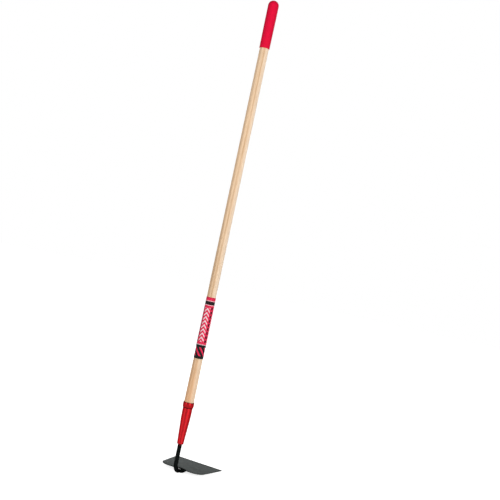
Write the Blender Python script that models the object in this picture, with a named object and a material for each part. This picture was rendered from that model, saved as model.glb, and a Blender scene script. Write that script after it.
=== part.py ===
"""Garden hoe: a welded blade, a bent rod neck, a steel ferrule and a long turned wooden handle.

Metres, with +Z up the handle. The handle's axis is vertical, the blade reaches forward along +Y
and its width runs along X. The origin lies under the middle of the outline, level with the
lowest point of the neck and its welds.
"""

from math import cos, pi, radians, sin, sqrt, tan

import bmesh
import bpy
from mathutils import Matrix, Vector

# Fits and mesh fineness
CLEARANCE = 0.0003
ROUND_STEPS = 40
ROD_STEPS = 32
BEND_STEPS = 14
BEAD_STEPS = 12
ARC_STEPS = 8
MERGE = 1e-6

# Blade
BLADE_WIDTH = 0.167
BLADE_DEPTH = 0.130
BLADE_THICKNESS = 0.0024
BLADE_SIDE_ANGLE = radians(5.8)
BLADE_RISE = radians(0.4)
BLADE_SETBACK = 0.0024
SHOULDER_RADIUS = 0.030
SHOULDER_STEPS = 10
GROUND_LENGTH = 0.009
GROUND_LAND = 0.0006
BLADE_EDGE_ROUND = 0.0004

# Neck rod
ROD_DIAMETER = 0.0127
BEND_RADIUS = 0.0265
FOOT_LENGTH = 0.039
FOOT_CHAMFER = 0.0015
SEAT_DEPTH = 0.0024
SEAT_LEAD = 0.0015
NECK_HEIGHT = 0.092
TANG_LENGTH = 0.095
TANG_TIP_DIAMETER = 0.006
TANG_CHAMFER = 0.0012

# Weld beads
SIDE_BEAD_RADIUS = 0.0059
SIDE_BEAD_BED = 0.0014
SIDE_BEAD_LEAD = 0.0075
SIDE_BEAD_INSET = 0.007
SIDE_BEAD_FULLNESS = 0.3
BACK_BEAD_RADIUS = 0.0042
BACK_BEAD_HALF_LENGTH = 0.0220
BACK_BEAD_SHIFT = 0.0035
BACK_BEAD_OFFSET = 0.0015
BACK_BEAD_FULLNESS = 0.55
RIPPLE_PITCH = 0.0042
RIPPLE_RISE = 0.04
RIPPLE_STEPS = 3
BEAD_END_STEP = 0.1

# Ferrule
FERRULE_LENGTH = 0.1297
FERRULE_WALL = 0.0013
FERRULE_STEP_IN = 0.0002
COLLAR_LENGTH = 0.0171
COLLAR_RISE = 0.0021
COLLAR_STEPS = 12
MOUTH_LIP = 0.0007
SEAT_HEIGHT = 0.004
KNEE_DROP = 0.024
KNEE_RADIUS = 0.8
NOSE_LENGTH = 0.0055
NOSE_LIP = 0.0034
NOSE_ROUND = 0.0022
NOSE_LAND = 0.003

# Wooden handle
HANDLE_LENGTH = 1.344
HANDLE_DIAMETER = 0.0280
HANDLE_BUTT_DIAMETER = 0.0300
SWELL_LENGTH = 0.34
SWELL_EASE = 1.4
SWELL_STEPS = 12
TENON_SETBACK = 0.020
HANDLE_TOP_ROUND = 0.006

# Ferrule rivet
RIVET_HEIGHT = 0.050
RIVET_DIAMETER = 0.0036
RIVET_HEAD_DIAMETER = 0.0076
RIVET_HEAD_HEIGHT = 0.0020
RIVET_HEAD_SIDE = 0.0005
RIVET_POINT = 0.0008
RIVET_GRIP = 0.003
RIVET_STEPS = 24

# Printed sleeve round the handle
SLEEVE_HEIGHT = 0.1351
SLEEVE_LENGTH = 0.188
SLEEVE_WALL = 0.00025
SLEEVE_LAP = radians(28)
SLEEVE_RAMP = radians(30)
SLEEVE_SECTIONS = 6

# Grip cap
GRIP_LENGTH = 0.1477
GRIP_RIM_WALL = 0.0013
GRIP_TOP_WALL = 0.0020
GRIP_END_WALL = 0.004
GRIP_DOME_HEIGHT = 0.0155
GRIP_RIM_ROUND = 0.0006
GRIP_TAPER_LENGTH = 0.090
GRIP_RIM_STEPS = 4

# Sizes that follow from the ones above
ROD_RADIUS = ROD_DIAMETER / 2
BUTT_RADIUS = HANDLE_BUTT_DIAMETER / 2
SLIM_RADIUS = HANDLE_DIAMETER / 2
BEND_CENTRE = Vector((0, BEND_RADIUS, ROD_RADIUS + BEND_RADIUS))
BLADE_UNDERSIDE = ROD_RADIUS - SEAT_DEPTH + CLEARANCE
BODY_RADIUS = BUTT_RADIUS - FERRULE_STEP_IN
NOSE_RADIUS = ROD_RADIUS + CLEARANCE + NOSE_LIP
FERRULE_TOP = NECK_HEIGHT + FERRULE_LENGTH
COLLAR_BOTTOM = FERRULE_TOP - COLLAR_LENGTH
WOOD_BOTTOM = NECK_HEIGHT + TENON_SETBACK
WOOD_TOP = WOOD_BOTTOM + HANDLE_LENGTH
TANG_TOP = WOOD_BOTTOM + TANG_LENGTH
GRIP_TOP = WOOD_TOP + CLEARANCE + GRIP_END_WALL
GRIP_RIM = GRIP_TOP - GRIP_LENGTH
GRIP_RADIUS = SLIM_RADIUS + CLEARANCE + GRIP_TOP_WALL
SLEEVE_BOTTOM = FERRULE_TOP + SLEEVE_HEIGHT
RIVET_Z = WOOD_BOTTOM + RIVET_HEIGHT


def clear_scene():
    """Empties the scene, so that the model starts alone."""
    for item in list(bpy.data.objects):
        bpy.data.objects.remove(item, do_unlink=True)


def finish_material(name, colour, roughness, metallic):
    """One plain finish: colour, roughness and metallic value."""
    material = bpy.data.materials.new(name)
    material.use_nodes = True
    shader = material.node_tree.nodes["Principled BSDF"]
    shader.inputs["Base Color"].default_value = (*colour, 1)
    shader.inputs["Roughness"].default_value = roughness
    shader.inputs["Metallic"].default_value = metallic
    return material


def add_object(name, bm, parent, material=None, matrix=None, smooth_angle=radians(35)):
    """Turns a bmesh into a named object under a parent."""
    bmesh.ops.recalc_face_normals(bm, faces=bm.faces)
    mesh = bpy.data.meshes.new(name)
    bm.to_mesh(mesh)
    bm.free()
    if smooth_angle:
        mesh.shade_smooth()
        mesh.set_sharp_from_angle(angle=smooth_angle)
    item = bpy.data.objects.new(name, mesh)
    bpy.context.collection.objects.link(item)
    item.parent = parent
    if matrix:
        item.matrix_local = matrix
    if material:
        mesh.materials.append(material)
    return item


def add_cutter(name, bm, parent, matrix=None):
    """A cutter is a guide solid that the finished model leaves out."""
    cutter = add_object(name, bm, parent, matrix=matrix, smooth_angle=None)
    cutter.hide_render = True
    cutter.display_type = "WIRE"
    return cutter


def cut(item, cutter):
    """Subtracts a cutter from an object."""
    modifier = item.modifiers.new(cutter.name, "BOOLEAN")
    modifier.operation = "DIFFERENCE"
    modifier.solver = "EXACT"
    modifier.object = cutter


def spun(profile, steps, closed=False):
    """Revolves (radius, height) points about Z; a closed profile makes a ring."""
    bm = bmesh.new()
    verts = [bm.verts.new((radius, 0, height)) for radius, height in profile]
    edges = [bm.edges.new(pair) for pair in zip(verts, verts[1:])]
    if closed:
        edges.append(bm.edges.new((verts[-1], verts[0])))
    bmesh.ops.spin(bm, geom=verts + edges, cent=(0, 0, 0), axis=(0, 0, 1), angle=2 * pi,
                   steps=steps, use_merge=True)
    bmesh.ops.remove_doubles(bm, verts=bm.verts, dist=MERGE)
    return bm


def swept(stations, steps):
    """Bridges circles of (centre, tangent, radius) along a path in the YZ plane and caps both ends."""
    bm = bmesh.new()
    rings = []
    for centre, tangent, radius in stations:
        side = Vector((1, 0, 0))
        up = tangent.cross(side).normalized()
        frame = Matrix((side, up, tangent.normalized())).transposed().to_4x4()
        frame.translation = centre
        ring = bmesh.ops.create_circle(bm, segments=steps, radius=radius, matrix=frame)["verts"]
        rings.append(ring)
    loops = [ring_edges(ring) for ring in rings]
    for low, high in zip(loops, loops[1:]):
        bmesh.ops.bridge_loops(bm, edges=low + high)
    for end in (loops[0], loops[-1]):
        bmesh.ops.edgeloop_fill(bm, edges=end)
    return bm


def ring_edges(ring):
    """The edges that join one ring's own vertices."""
    members = set(ring)
    return list({edge for vert in ring for edge in vert.link_edges
                 if edge.verts[0] in members and edge.verts[1] in members})


def box(low, high):
    """A plain block between two corners."""
    bm = bmesh.new()
    low, high = Vector(low), Vector(high)
    size = Matrix.Diagonal((*(high - low), 1))
    bmesh.ops.create_cube(bm, size=1, matrix=Matrix.Translation((low + high) / 2) @ size)
    return bm


def rounded(before, corner, after, radius, steps=ARC_STEPS):
    """Points of the arc that rounds one corner of a flat outline."""
    corner = Vector(corner)
    back = (Vector(before) - corner).normalized()
    ahead = (Vector(after) - corner).normalized()
    half = back.angle(ahead) / 2
    reach = radius / tan(half)
    centre = corner + (back + ahead).normalized() * radius / sin(half)
    first = corner + back * reach - centre
    last = corner + ahead * reach - centre
    return [centre + first.lerp(last, step / steps).normalized() * radius for step in range(steps + 1)]


def handle_radius(height):
    """The wood is slim for most of its length and swells towards the ferrule."""
    rise = max(0, min(1, (FERRULE_TOP + SWELL_LENGTH - height) / SWELL_LENGTH))
    return SLIM_RADIUS + (BUTT_RADIUS - SLIM_RADIUS) * rise ** SWELL_EASE


def tang_radius(height):
    """The rod is full size up to the wood and tapers inside it."""
    share = max(0, min(1, (height - WOOD_BOTTOM) / TANG_LENGTH))
    return ROD_RADIUS + (TANG_TIP_DIAMETER / 2 - ROD_RADIUS) * share


def body_profile():
    """Outside of the ferrule from its nose up to the collar: nose, cone and upper barrel."""
    cone_start = (NOSE_RADIUS, NECK_HEIGHT + NOSE_LENGTH)
    knee = (BODY_RADIUS, COLLAR_BOTTOM - KNEE_DROP)
    return [cone_start, *rounded(cone_start, knee, (BODY_RADIUS, COLLAR_BOTTOM), KNEE_RADIUS),
            (BODY_RADIUS, COLLAR_BOTTOM)]


def body_radius(height):
    """Outer radius of the ferrule's body at one height."""
    points = body_profile()
    for (low_radius, low), (high_radius, high) in zip(points, points[1:]):
        if low <= height <= high and high > low:
            return low_radius + (high_radius - low_radius) * (height - low) / (high - low)
    return NOSE_RADIUS if height < points[0][1] else BODY_RADIUS


def foot_frame():
    """Frame of the neck's foot: Y runs forward along the rod, Z square to it through the blade."""
    turn = Matrix.Rotation(BLADE_RISE, 4, "X")
    start = BEND_CENTRE + turn @ Vector((0, 0, -BEND_RADIUS))
    return Matrix.Translation(start) @ turn


def foot_and_bend(extra=0.0):
    """Circles along the rod from the foot's end to the top of the bend, with extra radius if asked."""
    frame = foot_frame()
    forward = frame.to_3x3() @ Vector((0, 1, 0))
    end = frame @ Vector((0, FOOT_LENGTH, 0))
    stations = [(end, -forward, ROD_RADIUS - FOOT_CHAMFER + extra),
                (end - forward * FOOT_CHAMFER, -forward, ROD_RADIUS + extra)]
    for step in range(BEND_STEPS + 1):
        angle = BLADE_RISE - (pi / 2 + BLADE_RISE) * step / BEND_STEPS
        outward = Vector((0, sin(angle), -cos(angle)))
        tangent = Vector((0, -cos(angle), -sin(angle)))
        stations.append((BEND_CENTRE + outward * BEND_RADIUS, tangent, ROD_RADIUS + extra))
    return stations


def upright(height, radius):
    """One circle on the handle's axis."""
    return Vector((0, 0, height)), Vector((0, 0, 1)), radius


def make_blade(parent, material):
    """Flat plate with rounded shoulders at the back and a ground edge along the front."""
    half_front = BLADE_WIDTH / 2
    half_back = half_front - BLADE_DEPTH * tan(BLADE_SIDE_ANGLE)
    right = rounded((0, 0), (half_back, 0), (half_front, BLADE_DEPTH), SHOULDER_RADIUS, SHOULDER_STEPS)
    right.append(Vector((half_front, BLADE_DEPTH)))
    left = [Vector((-point.x, point.y)) for point in reversed(right)]
    bm = bmesh.new()
    plate = bm.faces.new([bm.verts.new((point.x, point.y, 0)) for point in right + left])
    raised = bmesh.ops.extrude_face_region(bm, geom=[plate])["geom"]
    bmesh.ops.translate(bm, vec=(0, 0, BLADE_THICKNESS),
                        verts=[part for part in raised if isinstance(part, bmesh.types.BMVert)])
    grind_point = Vector((0, BLADE_DEPTH - GROUND_LENGTH, 0))
    grind_slope = Vector((0, GROUND_LENGTH, BLADE_THICKNESS - GROUND_LAND))
    grind_normal = Vector((0, grind_slope.z, -grind_slope.y)).normalized()
    sliced = bmesh.ops.bisect_plane(bm, geom=bm.verts[:] + bm.edges[:] + bm.faces[:], dist=MERGE,
                                    plane_co=grind_point, plane_no=grind_normal, clear_outer=True)
    rim = [part for part in sliced["geom_cut"] if isinstance(part, bmesh.types.BMEdge)]
    bmesh.ops.edgeloop_fill(bm, edges=rim)
    outline = [edge for edge in bm.edges
               if abs(edge.verts[0].co.z - edge.verts[1].co.z) < MERGE
               and min(vert.co.y for vert in edge.verts) < grind_point.y - BLADE_EDGE_ROUND]
    bmesh.ops.bevel(bm, geom=outline, offset=BLADE_EDGE_ROUND, segments=2, profile=0.5,
                    affect="EDGES", clamp_overlap=True)
    matrix = foot_frame() @ Matrix.Translation((0, BLADE_SETBACK, BLADE_UNDERSIDE))
    return add_object("blade", bm, parent, material, matrix)


def make_neck(parent, material, rivet_bore):
    """One rod: a foot pressed flat under the blade, a tight bend, a straight neck and a tang."""
    stations = foot_and_bend()
    stations.append(upright(WOOD_BOTTOM, ROD_RADIUS))
    chamfer_height = TANG_TOP - TANG_CHAMFER
    stations.append(upright(chamfer_height, tang_radius(chamfer_height)))
    stations.append(upright(TANG_TOP, tang_radius(TANG_TOP) - TANG_CHAMFER))
    neck = add_object("neck", swept(stations, ROD_STEPS), parent, material)
    seat = box((-ROD_DIAMETER, BLADE_SETBACK - SEAT_LEAD, ROD_RADIUS - SEAT_DEPTH),
               (ROD_DIAMETER, FOOT_LENGTH + ROD_DIAMETER, ROD_DIAMETER))
    cut(neck, add_cutter("seat_cutter", seat, parent, foot_frame()))
    cut(neck, rivet_bore)
    return neck


def rippled_bead(start, end, radius, fullness):
    """A weld bead: a rippled spindle between two points, blunter at its ends for a low fullness."""
    bm = bmesh.new()
    axis = end - start
    ripples = max(2, round(axis.length / RIPPLE_PITCH))
    count = ripples * RIPPLE_STEPS
    frame = axis.to_track_quat("Z", "Y").to_matrix().to_4x4()
    loops = []
    for step in (BEAD_END_STEP, *range(1, count), count - BEAD_END_STEP):
        along = step / count
        swell = (1 - (2 * along - 1) ** 2) ** fullness
        ripple = 1 + RIPPLE_RISE * cos(2 * pi * ripples * along)
        frame.translation = start + axis * along
        ring = bmesh.ops.create_circle(bm, segments=BEAD_STEPS, radius=radius * swell * ripple, matrix=frame)
        loops.append(ring_edges(ring["verts"]))
    for low, high in zip(loops, loops[1:]):
        bmesh.ops.bridge_loops(bm, edges=low + high)
    for rim in (loops[0], loops[-1]):
        bmesh.ops.edgeloop_fill(bm, edges=rim)
    return bm


def make_welds(parent, material):
    """Two beads along the foot, below the blade, and one on its back edge across the rod."""
    frame = foot_frame()
    stations = foot_and_bend(CLEARANCE)
    stations.append(upright(NECK_HEIGHT, ROD_RADIUS + CLEARANCE))
    rod = add_cutter("rod_cutter", swept(stations, ROD_STEPS), parent)
    reach = BLADE_WIDTH
    under = box((-reach, -reach, BLADE_UNDERSIDE - CLEARANCE), (reach, reach, reach))
    plate = add_cutter("plate_cutter", under, parent, frame)
    ahead = box((-reach, BLADE_SETBACK - CLEARANCE, -reach), (reach, reach, reach))
    back_edge = add_cutter("back_edge_cutter", ahead, parent, frame)
    below = box((-reach, -reach, -reach), (reach, reach, BLADE_UNDERSIDE))
    level = add_cutter("level_cutter", below, parent, frame)
    bed = ROD_RADIUS + CLEARANCE + SIDE_BEAD_BED
    first = BLADE_SETBACK - SIDE_BEAD_LEAD
    last = FOOT_LENGTH - SIDE_BEAD_INSET
    for name, side in (("weld_left", -1), ("weld_right", 1)):
        start = Vector((side * bed, first, 0))
        end = Vector((side * bed, last, 0))
        bead = rippled_bead(start, end, SIDE_BEAD_RADIUS, SIDE_BEAD_FULLNESS)
        weld = add_object(name, bead, parent, material, frame)
        cut(weld, plate)
        cut(weld, rod)
    centre = Vector((BACK_BEAD_SHIFT, BLADE_SETBACK - CLEARANCE - BACK_BEAD_OFFSET,
                     BLADE_UNDERSIDE + BLADE_THICKNESS))
    half = Vector((BACK_BEAD_HALF_LENGTH, 0, 0))
    bead = rippled_bead(centre - half, centre + half, BACK_BEAD_RADIUS, BACK_BEAD_FULLNESS)
    weld = add_object("weld_back", bead, parent, material, frame)
    cut(weld, back_edge)
    cut(weld, level)
    cut(weld, rod)


def make_ferrule(parent, material, rivet_bore):
    """Tapered steel socket: rounded nose, conical body and a rolled collar round the wood."""
    bore = BUTT_RADIUS + CLEARANCE
    lip = bore + MOUTH_LIP
    outside = []
    for step in range(1, COLLAR_STEPS):
        across = 1 - 2 * step / COLLAR_STEPS
        height = COLLAR_BOTTOM + COLLAR_LENGTH * (1 + across) / 2
        foot = lip if across > 0 else BODY_RADIUS
        crown = BODY_RADIUS + COLLAR_RISE
        outside.append((foot + (crown - foot) * sqrt(1 - across ** 2), height))
    body = body_profile()
    nose_corner = (NOSE_RADIUS, NECK_HEIGHT)
    nose_edge = rounded(body[0], nose_corner, (ROD_RADIUS, NECK_HEIGHT), NOSE_ROUND)
    rod_hole = ROD_RADIUS + CLEARANCE
    inside = [(radius - FERRULE_WALL, height) for radius, height in body]
    seat = COLLAR_BOTTOM + SEAT_HEIGHT
    profile = [(bore, FERRULE_TOP), (lip, FERRULE_TOP), *outside, *reversed(body), *nose_edge,
               (rod_hole, NECK_HEIGHT), (rod_hole, NECK_HEIGHT + NOSE_LAND), *inside[:-1],
               (BODY_RADIUS - FERRULE_WALL, seat), (bore, seat)]
    ferrule = add_object("ferrule", spun(profile, ROUND_STEPS, closed=True), parent, material)
    cut(ferrule, rivet_bore)
    return ferrule


def make_handle(parent, material, rivet_bore):
    """Turned wooden pole with a stepped tenon in the ferrule and a tapered hole for the tang."""
    seat = COLLAR_BOTTOM + SEAT_HEIGHT + CLEARANCE
    tenon_wall = FERRULE_WALL + CLEARANCE
    tenon = [(radius - tenon_wall, height) for radius, height in body_profile() if height > WOOD_BOTTOM]
    hole_top = TANG_TOP + CLEARANCE
    corner = (SLIM_RADIUS, WOOD_TOP)
    profile = [(0, hole_top), (tang_radius(TANG_TOP) + CLEARANCE, hole_top),
               (ROD_RADIUS + CLEARANCE, WOOD_BOTTOM),
               (body_radius(WOOD_BOTTOM) - tenon_wall, WOOD_BOTTOM), *tenon[:-1],
               (BODY_RADIUS - tenon_wall, seat), (BUTT_RADIUS, seat)]
    for step in range(SWELL_STEPS + 1):
        height = FERRULE_TOP + SWELL_LENGTH * step / SWELL_STEPS
        profile.append((handle_radius(height), height))
    profile += rounded(profile[-1], corner, (0, WOOD_TOP), HANDLE_TOP_ROUND)
    profile.append((0, WOOD_TOP))
    handle = add_object("handle", spun(profile, ROUND_STEPS), parent, material)
    cut(handle, rivet_bore)
    return handle


def rivet_places():
    """Where the rivet's head sits in front of the ferrule, and where its tip ends behind the tang."""
    head = body_radius(RIVET_Z + RIVET_HEAD_DIAMETER / 2) + CLEARANCE
    tip = -(tang_radius(RIVET_Z) + RIVET_GRIP)
    turn = Matrix.Translation((0, 0, RIVET_Z)) @ Matrix.Rotation(-pi / 2, 4, "X")
    return head, tip, turn


def make_rivet_bore(parent):
    """Cutter for the rivet's hole through ferrule, wood and tang."""
    head, tip, turn = rivet_places()
    radius = RIVET_DIAMETER / 2 + CLEARANCE
    start = tip - CLEARANCE
    end = head + RIVET_HEAD_HEIGHT
    bm = spun([(0, start), (radius, start), (radius, end), (0, end)], RIVET_STEPS)
    return add_cutter("rivet_bore", bm, parent, turn)


def make_rivet(parent, material):
    """Pin with a domed head, driven from the front through the ferrule, the wood and the tang."""
    head, tip, turn = rivet_places()
    shank = RIVET_DIAMETER / 2
    cap = RIVET_HEAD_DIAMETER / 2
    profile = [(0, tip), (shank - RIVET_POINT, tip), (shank, tip + RIVET_POINT), (shank, head), (cap, head)]
    crown = RIVET_HEAD_HEIGHT - RIVET_HEAD_SIDE
    for step in range(ARC_STEPS):
        angle = pi / 2 * step / ARC_STEPS
        profile.append((cap * cos(angle), head + RIVET_HEAD_SIDE + crown * sin(angle)))
    profile.append((0, head + RIVET_HEAD_HEIGHT))
    return add_object("ferrule_rivet", spun(profile, RIVET_STEPS), parent, material, turn)


def make_sleeve(parent, material):
    """Thin printed sheet wrapped once round the wood, its end lapped over its start in front."""
    steps = round(ROUND_STEPS * (1 + SLEEVE_LAP / (2 * pi)))
    sweep = 2 * pi + SLEEVE_LAP
    lift = SLEEVE_WALL + CLEARANCE / 2
    bm = bmesh.new()
    rows = []
    for section in range(SLEEVE_SECTIONS + 1):
        height = SLEEVE_BOTTOM + SLEEVE_LENGTH * section / SLEEVE_SECTIONS
        row = []
        for step in range(steps + 1):
            turned = sweep * step / steps
            climb = max(0, min(1, (turned - 2 * pi + SLEEVE_RAMP) / SLEEVE_RAMP))
            radius = handle_radius(height) + CLEARANCE + lift * climb
            angle = turned + pi / 2 - SLEEVE_LAP / 2
            row.append(bm.verts.new((radius * cos(angle), radius * sin(angle), height)))
        rows.append(row)
    for low, high in zip(rows, rows[1:]):
        for step in range(steps):
            bm.faces.new((low[step], low[step + 1], high[step + 1], high[step]))
    sleeve = add_object("label_sleeve", bm, parent, material)
    wall = sleeve.modifiers.new("sheet", "SOLIDIFY")
    wall.thickness = SLEEVE_WALL
    wall.offset = 1
    return sleeve


def make_grip(parent, material):
    """Soft cap pushed over the handle's end: thicker at the domed top, thin at its lower rim."""
    bore = SLIM_RADIUS + CLEARANCE
    rim = bore + GRIP_RIM_WALL
    ceiling = WOOD_TOP + CLEARANCE
    dome_base = GRIP_TOP - GRIP_DOME_HEIGHT
    barrel_end = (GRIP_RADIUS, GRIP_RIM + GRIP_TAPER_LENGTH)
    profile = [(0, GRIP_TOP)]
    for step in range(1, 2 * ARC_STEPS + 1):
        angle = pi / 2 * (1 - step / (2 * ARC_STEPS))
        profile.append((GRIP_RADIUS * cos(angle), dome_base + GRIP_DOME_HEIGHT * sin(angle)))
    profile.append(barrel_end)
    profile += rounded(barrel_end, (rim, GRIP_RIM), (bore, GRIP_RIM), GRIP_RIM_ROUND, GRIP_RIM_STEPS)
    profile.append((bore, GRIP_RIM))
    profile += rounded((bore, GRIP_RIM), (bore, ceiling), (0, ceiling), HANDLE_TOP_ROUND)
    profile.append((0, ceiling))
    return add_object("grip", spun(profile, ROUND_STEPS), parent, material)


def main():
    """Builds every piece under one empty that centres the outline on the origin."""
    clear_scene()
    blade_front = foot_frame() @ Vector((0, BLADE_SETBACK + BLADE_DEPTH, BLADE_UNDERSIDE + BLADE_THICKNESS))
    back_reach = max(GRIP_RADIUS, BODY_RADIUS + COLLAR_RISE)
    hoe = bpy.data.objects.new("hoe", None)
    bpy.context.collection.objects.link(hoe)
    hoe.location.y = (back_reach - blade_front.y) / 2

    blade_steel = finish_material("blade_steel", (0.092, 0.096, 0.096), 0.46, 0.55)
    black_paint = finish_material("black_paint", (0.012, 0.013, 0.013), 0.34, 0.0)
    red_enamel = finish_material("red_enamel", (0.52, 0.010, 0.018), 0.22, 0.0)
    zinc = finish_material("zinc", (0.55, 0.56, 0.58), 0.35, 1.0)
    ash_wood = finish_material("ash_wood", (0.82, 0.60, 0.37), 0.42, 0.0)
    printed_film = finish_material("printed_film", (0.60, 0.02, 0.07), 0.30, 0.0)
    soft_vinyl = finish_material("soft_vinyl", (0.72, 0.012, 0.06), 0.38, 0.0)

    rivet_bore = make_rivet_bore(hoe)
    make_blade(hoe, blade_steel)
    make_neck(hoe, black_paint, rivet_bore)
    make_welds(hoe, black_paint)
    make_ferrule(hoe, red_enamel, rivet_bore)
    make_rivet(hoe, zinc)
    make_handle(hoe, ash_wood, rivet_bore)
    make_sleeve(hoe, printed_film)
    make_grip(hoe, soft_vinyl)


main()
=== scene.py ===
"""Garden hoe: the fine surfaces and finishes of its ten pieces, and a plain white studio round it.

The script is laid out as an add-on. Each operator makes one piece or one group of like pieces over the
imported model, which gives the places of all of them, and the sidebar panel lists the operators with
their sizes and colours. Lengths are metres, with +Z up the handle and the blade along +Y.
"""

from math import ceil, cos, pi, radians, sin, sqrt, tan

import bmesh
import bpy
from bpy.props import FloatProperty, FloatVectorProperty, PointerProperty
from mathutils import Matrix, Vector, noise


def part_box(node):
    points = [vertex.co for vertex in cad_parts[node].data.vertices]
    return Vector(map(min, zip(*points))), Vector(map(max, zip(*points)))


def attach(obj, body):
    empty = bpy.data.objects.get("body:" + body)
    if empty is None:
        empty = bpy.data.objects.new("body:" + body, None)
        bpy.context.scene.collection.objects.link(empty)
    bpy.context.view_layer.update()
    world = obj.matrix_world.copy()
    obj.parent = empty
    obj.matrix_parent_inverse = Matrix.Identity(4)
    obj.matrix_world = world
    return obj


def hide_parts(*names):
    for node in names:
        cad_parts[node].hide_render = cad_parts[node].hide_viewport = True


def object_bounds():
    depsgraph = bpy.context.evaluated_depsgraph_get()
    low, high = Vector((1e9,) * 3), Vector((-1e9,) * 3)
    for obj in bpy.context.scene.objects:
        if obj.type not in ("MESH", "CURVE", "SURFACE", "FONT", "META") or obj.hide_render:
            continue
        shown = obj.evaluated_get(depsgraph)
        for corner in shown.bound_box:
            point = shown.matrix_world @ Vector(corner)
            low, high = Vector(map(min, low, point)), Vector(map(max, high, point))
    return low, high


bl_info = {
    "name": "Garden Hoe",
    "version": (1, 0, 0),
    "blender": (4, 5, 0),
    "location": "View3D > Sidebar > Hoe",
    "description": "A long handled garden hoe: blade, neck, ferrule, wooden pole, sleeve and grip",
    "category": "Object",
}

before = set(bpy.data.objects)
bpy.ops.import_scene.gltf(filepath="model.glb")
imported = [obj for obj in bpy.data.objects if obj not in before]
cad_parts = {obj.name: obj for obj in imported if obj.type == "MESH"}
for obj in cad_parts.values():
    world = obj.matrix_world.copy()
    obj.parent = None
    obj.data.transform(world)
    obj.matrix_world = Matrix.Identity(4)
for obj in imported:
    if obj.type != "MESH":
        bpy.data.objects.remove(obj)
CAD_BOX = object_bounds()
BODY = "root"

HANDLE_LOW, HANDLE_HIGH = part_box("handle")
FERRULE_LOW, FERRULE_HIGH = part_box("ferrule")
GRIP_LOW, GRIP_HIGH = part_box("grip")
SLEEVE_LOW, SLEEVE_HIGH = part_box("label_sleeve")
NECK_LOW, NECK_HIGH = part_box("neck")
BLADE_LOW, BLADE_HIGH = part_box("blade")
RIVET_LOW, RIVET_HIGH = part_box("ferrule_rivet")

AXIS = Vector(((HANDLE_LOW.x + HANDLE_HIGH.x) / 2, (HANDLE_LOW.y + HANDLE_HIGH.y) / 2, 0))
BUTT_RADIUS = (HANDLE_HIGH.x - HANDLE_LOW.x) / 2
GRIP_RADIUS = (GRIP_HIGH.x - GRIP_LOW.x) / 2
ROD_RADIUS = (NECK_HIGH.x - NECK_LOW.x) / 2
RIGHT = Vector((1, 0, 0))
FORWARD = Vector((0, 1, 0))
UP = Vector((0, 0, 1))
FIT = 0.0003  # clearance of every press or glue fit
MERGE = 1e-6  # vertices closer than this are one
ROUND_FACES = 96  # round the pole, ferrule and grip
ROD_FACES = 64
BEAD_FACES = 32
PIN_FACES = 48
WAVE_SCALE = 2 * pi / 20  # the scale at which a Wave node's rings lie a metre apart


def length(name, description, default):
    """A size in metres for the panel."""
    return FloatProperty(name=name, description=description, default=default, min=0, precision=5,
                         subtype="DISTANCE", unit="LENGTH")


def turn(name, description, degrees):
    """An angle for the panel."""
    return FloatProperty(name=name, description=description, default=radians(degrees), subtype="ANGLE",
                         unit="ROTATION")


def share(name, description, default):
    """A plain number from 0 to 1 for the panel."""
    return FloatProperty(name=name, description=description, default=default, min=0, max=1,
                         subtype="FACTOR")


def power(name, description, default):
    """A lamp's power for the panel."""
    return FloatProperty(name=name, description=description, default=default, min=0, unit="POWER")


def colour(name, description, default):
    """A linear colour for the panel."""
    return FloatVectorProperty(name=name, description=description, default=default, min=0, max=1, size=3,
                               subtype="COLOR")


class StageSettings(bpy.types.PropertyGroup):
    """Camera, floor and lamps."""

    azimuth: turn("Azimuth", "Which way round the hoe the camera stands", 25.229)
    roll: turn("Roll", "How far the camera is rolled, so that the pole leans", 12.031)
    distance: length("Distance", "From the pole to the camera", 2.77041)
    sideways: length("Sideways", "Camera's offset to its right", 0.08446)
    height: length("Height", "Height of the camera", 0.70883)
    lens: FloatProperty(name="Lens", description="Focal length on a 36 mm sensor", default=66.036,
                        unit="CAMERA")
    lamp_distance: length("Lamp distance", "From the pole to each soft box", 3.4)
    lamp_height: length("Lamp height", "Length of each soft box", 3.2)
    lamp_rise: length("Lamp rise", "From the hoe's middle up to that of each soft box", 0.4)
    key_angle: turn("Key angle", "Key light on the right, from the camera's side", 37)
    key_width: length("Key width", "Width of the key light", 2.7)
    key_power: power("Key", "Power of the key light", 94)
    fill_angle: turn("Fill angle", "Fill light on the left, from the camera's side", -48)
    fill_width: length("Fill width", "Width of the fill light", 1.4)
    fill_power: power("Fill", "Power of the fill light", 46)
    back_angle: turn("Back angle", "Light behind the hoe, from the camera's side", 176)
    back_width: length("Back width", "Width of the light behind", 2.2)
    back_power: power("Back", "Power of the light behind", 44)
    ambient: share("Ambient", "Strength of the sky that lights the hoe", 0.26)
    floor_radius: length("Floor radius", "Radius of the floor", 12)
    floor_pale: share("Floor pale", "How pale the floor is", 0.9)
    floor_lift: share("Floor lift", "White that the camera sees on the floor beside its own light", 0.82)


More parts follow.
